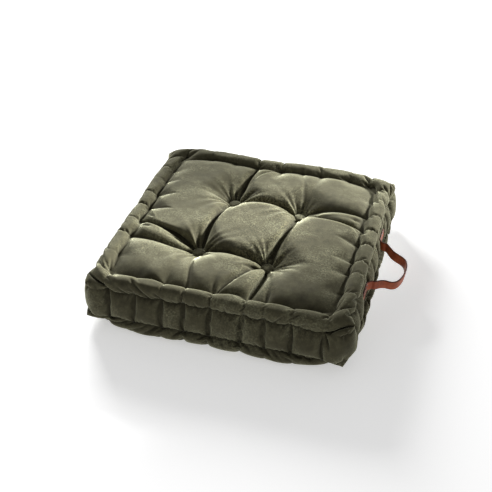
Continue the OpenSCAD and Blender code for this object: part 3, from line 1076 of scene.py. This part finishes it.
def velvet_material():
    """Olive cotton velvet: brushed patches, a speckled pile with painted glints of sheen round the middle,
    painted shade in folds and painted highlights on crests.
    """
    s = Shader("olive_velvet", {"Sheen Weight": 1.0, "Sheen Roughness": 0.34,
                                "Sheen Tint": (0.72, 0.72, 0.50), "Specular IOR Level": 0.12})
    brushed = s.noise(11.0, 3.0, 0.55, (1.0, 1.6, 1.0))
    mottled = s.noise(85.0, 3.0, 0.6)
    pile = s.noise(520.0, 4.0, 0.8)
    grit = s.noise(310.0, 4.0, 0.85)
    color = s.ramp(s.sum(brushed, 0.6, mottled, 0.4), (0.34, (0.040, 0.036, 0.021)),
                   (0.50, (0.068, 0.063, 0.037)), (0.66, (0.112, 0.108, 0.068)))
    # Pile speckle: partly the pile's own grain, partly painted glints of sheen that lift the colour up to
    # 2.3 times
    pile_speckle_and_glints = s.ramp(grit, (0.38, (0.30, 0.29, 0.27)), (0.50, (0.85,) * 3), (0.62, (2.30, 2.30, 2.20)))
    # Where the painted glints show: the brushed patches and the spot just right of the middle
    painted_glint_spot = s.math("MULTIPLY", s.value("painted_glint_spot"), 0.28)
    brushed_and_glint_spot = s.ramp(s.math("ADD", painted_glint_spot, brushed), (0.46, (0.08,) * 3), (0.74, (1.0,) * 3))
    color = s.mix(brushed_and_glint_spot, color, s.mix(1.0, color, pile_speckle_and_glints, "MULTIPLY"))
    # Painted shade and highlight: the fold value darkens the colour in folds and lightens it on crests
    fold_shade_and_crest_highlight = s.ramp(s.value("fold"), (0.05, (0.42, 0.41, 0.38)), (0.48, (1.0,) * 3),
                    (0.95, (1.35, 1.36, 1.32)))
    color = s.mix(1.0, color, fold_shade_and_crest_highlight, "MULTIPLY")
    tufts = s.math("MULTIPLY", s.sum(pile, 0.7, grit, 0.4), s.grey(brushed_and_glint_spot, 0.45, 1.35))
    height = s.math("ADD", tufts, s.math("MULTIPLY", mottled, 0.25))
    return s.finish(color, s.grey(mottled, 0.72, 0.95), height, 0.0009, 0.9)


def leather_material():
    """Tan leather: fine pebbled grain, cloudy dye and darker edges."""
    s = Shader("tan_leather", {"Specular IOR Level": 0.32, "Coat Weight": 0.04, "Coat Roughness": 0.35})
    grain = s.cells(1500.0)
    pores = s.noise(2600.0, 2.0, 0.6)
    cloudy = s.noise(60.0, 4.0, 0.6)
    streaks = s.noise(240.0, 3.0, 0.6, (1.0, 1.0, 0.25))
    color = s.ramp(s.sum(cloudy, 0.7, streaks, 0.3), (0.32, (0.270, 0.058, 0.019)),
                   (0.52, (0.480, 0.105, 0.033)), (0.72, (0.640, 0.170, 0.060)))
    # Darker towards the strap's edges
    edge = s.ramp(s.value("edge"), (0.45, (0.0,) * 3), (1.0, (1.0,) * 3))
    color = s.mix(edge, color, (0.075, 0.020, 0.012))
    color = s.mix(s.grey(grain, 0.25, 0.0), color, (0.120, 0.030, 0.016))
    return s.finish(color, s.grey(pores, 0.38, 0.62), s.sum(grain, 0.7, pores, 0.3), 0.0003, 0.5)


def thread_material(name, dark, pale, scale, rough):
    """Twisted thread or twine: slanting plies with a little fuzz."""
    s = Shader(name, {"Sheen Weight": 0.2, "Sheen Roughness": 0.5})
    fuzz = s.noise(scale * 2.5, 3.0, 0.7)
    shade = s.sum(s.waves("DIAGONAL", scale, 1.2), 0.6, fuzz, 0.4)
    color = s.ramp(shade, (0.2, dark), (0.85, pale))
    return s.finish(color, s.grey(fuzz, rough - 0.1, rough + 0.1), shade, 0.0002, 0.7)


def metal_material():
    """Pressed steel button shells: brushed, with dull spots."""
    s = Shader("button_steel", {"Metallic": 1.0})
    brushed = s.noise(900.0, 3.0, 0.6, (1.0, 0.08, 1.0))
    dull = s.noise(220.0, 4.0, 0.6)
    color = s.ramp(s.sum(brushed, 0.5, dull, 0.5), (0.3, (0.42, 0.41, 0.39)), (0.75, (0.66, 0.65, 0.62)))
    return s.finish(color, s.grey(dull, 0.28, 0.5), brushed, 0.0001, 0.4)


def weave_material(name, dark, pale, threads, rough):
    """Plain woven cotton."""
    s = Shader(name, {"Sheen Weight": 0.15, "Sheen Roughness": 0.5})
    weave = s.math("MULTIPLY", s.waves("Y", threads, 0.6), s.waves("Z", threads, 0.6))
    slubs = s.noise(threads * 0.4, 3.0, 0.6)
    color = s.ramp(s.sum(weave, 0.6, slubs, 0.4), (0.15, dark), (0.8, pale))
    return s.finish(color, s.grey(slubs, rough - 0.08, rough + 0.08), weave, 0.0003, 0.8)


def fibre_material():
    """Matted polyester fibre."""
    s = Shader("fibre_wadding", {"Sheen Weight": 0.4, "Sheen Roughness": 0.4})
    strands = s.noise(420.0, 6.0, 0.75, (1.0, 0.15, 1.0))
    clumps = s.noise(40.0, 4.0, 0.6)
    shade = s.sum(strands, 0.6, clumps, 0.4)
    color = s.ramp(shade, (0.25, (0.55, 0.54, 0.50)), (0.75, (0.86, 0.85, 0.82)))
    return s.finish(color, s.grey(clumps, 0.85, 0.98), shade, 0.0015, 0.8)


def floor_material():
    """Pale seamless paper."""
    s = Shader("pale_paper", {"Specular IOR Level": 0.1, "Emission Color": (1.0,) * 3,
                              "Emission Strength": 0.45})
    fibres = s.noise(350.0, 3.0, 0.6)
    color = s.ramp(fibres, (0.3, (0.90,) * 3), (0.7, (0.93,) * 3))
    return s.finish(color, s.grey(fibres, 0.85, 0.95), fibres, 0.0002, 0.2)


def dress_frame(thread, twine, metal, patch):
    """Gives the CAD parts that stay as they are their materials."""
    looks = {"tuft_twine": twine, "handle_stitching": thread, "handle_patch": patch}
    for name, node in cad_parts.items():
        look = next((look for start, look in looks.items() if name.startswith(start)), None)
        if look is None and name.endswith(("_shell", "_back")):
            look = metal
        if look is not None:
            node.data.materials.clear()
            node.data.materials.append(look)


# ---- Camera, floor and light ----
CAMERA_TURN = 16.6  # degrees to the right of the front
CAMERA_RISE = 37.1  # degrees above the floor
CAMERA_FAR = 1.75
CAMERA_AIM = (-0.0283, 0.0658, 0.0)
CAMERA_LENS = 66.9
FLOOR = 6.0  # half its width
SURROUND = 0.30  # strength of the white surround
FILL_AT = (-1.25, 1.65, 1.05)
FILL_AIM = (0, 0, 0.05)
FILL_SIZE = 0.7
FILL_POWER = 62
RAKE_AT = (1.25, 1.25, 0.80)
RAKE_AIM = (-0.06, -0.055, 0.09)
RAKE_ANGLE = 12.5  # degrees across the beam
RAKE_RADIUS = 0.12
RAKE_POWER = 800


def aim(obj, place, target):
    """Puts a camera or a light at a place and turns it to its target."""
    obj.location = place
    obj.rotation_mode = "QUATERNION"
    obj.rotation_quaternion = (Vector(target) - Vector(place)).to_track_quat("-Z", "Y")


def make_camera():
    """Looks down on the front of the cushion, from a little to its right."""
    turn, rise = math.radians(CAMERA_TURN), math.radians(CAMERA_RISE)
    back = Vector((math.sin(turn) * math.cos(rise), -math.cos(turn) * math.cos(rise), math.sin(rise)))
    data = bpy.data.cameras.new("camera")
    data.lens = CAMERA_LENS
    camera = put_in_scene("camera", data)
    aim(camera, Vector(CAMERA_AIM) + back * CAMERA_FAR, CAMERA_AIM)
    bpy.context.scene.camera = camera


def make_light(name, kind, power, place, target):
    """A light of one kind at its place, aimed at its target."""
    data = bpy.data.lights.new(name, kind)
    data.energy = power
    aim(put_in_scene(name, data), place, target)
    return data


def make_studio():
    """Pale floor and white surround, a soft light from the back left and a low beam from the back right."""
    corners = [(-FLOOR, -FLOOR, 0), (FLOOR, -FLOOR, 0), (FLOOR, FLOOR, 0), (-FLOOR, FLOOR, 0)]
    make_mesh("floor", corners, [(0, 1, 2, 3)], floor_material())
    world = bpy.data.worlds.new("surround")
    world.use_nodes = True
    background = world.node_tree.nodes["Background"]
    background.inputs["Color"].default_value = (1.0, 1.0, 1.0, 1.0)
    background.inputs["Strength"].default_value = SURROUND
    bpy.context.scene.world = world
    make_light("fill", "AREA", FILL_POWER, FILL_AT, FILL_AIM).size = FILL_SIZE
    rake = make_light("rake", "SPOT", RAKE_POWER, RAKE_AT, RAKE_AIM)
    rake.shadow_soft_size = RAKE_RADIUS
    rake.spot_size = math.radians(RAKE_ANGLE)
    rake.spot_blend = 1.0
    bpy.context.scene.view_settings.view_transform = "Standard"


def main():
    make_camera()
    make_studio()
    velvet, leather = velvet_material(), leather_material()
    thread = thread_material("olive_thread", (0.030, 0.028, 0.018), (0.095, 0.092, 0.060), 900.0, 0.75)
    twine = thread_material("waxed_twine", (0.30, 0.25, 0.17), (0.62, 0.56, 0.43), 700.0, 0.6)
    patch = weave_material("cotton_patch", (0.34, 0.32, 0.26), (0.72, 0.70, 0.62), 900.0, 0.85)
    rng = np.random.default_rng(STITCH_SEED)
    plan = stitch_plan(rng)
    lat, x = simulate(plan, rng)
    make_casing(lat, x, velvet)
    make_filling(lat, x, fibre_material())
    make_buttons(velvet)
    make_roll_stitching(plan, thread)
    make_strap(leather)
    dress_frame(thread, twine, metal_material(), patch)


main()
